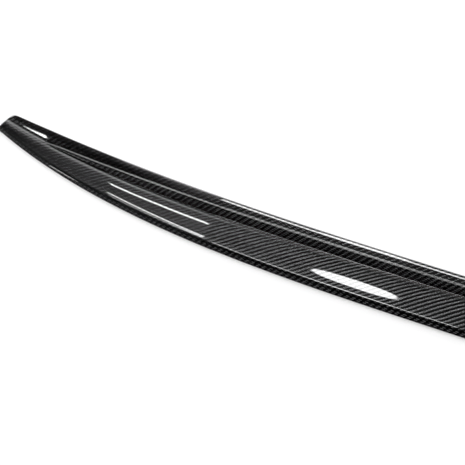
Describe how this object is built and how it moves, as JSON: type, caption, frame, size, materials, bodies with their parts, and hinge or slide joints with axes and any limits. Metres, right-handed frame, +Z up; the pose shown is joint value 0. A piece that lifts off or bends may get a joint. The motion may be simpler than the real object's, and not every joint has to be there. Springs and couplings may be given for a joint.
{
  "type": "car spoiler",
  "caption": "Long bowed boot lip spoiler in gloss carbon twill: a wide skirt, a stepped lip and a front ramp in one hollow shell that sits on a flat rim.",
  "frame": {"origin": "middle of the spoiler's box, on the plane of the rim", "axes": "+X along the length, +Y towards the front of the car, +Z up from the boot lid"},
  "size_m": [1.28, 0.1354, 0.0273],
  "materials": {
    "carbon_twill": "clear gloss lacquer over black carbon fibre in 2x2 twill"
  },
  "bodies": {
    "root": {"spoiler_shell": "carbon_twill"}
  },
  "joints": []
}
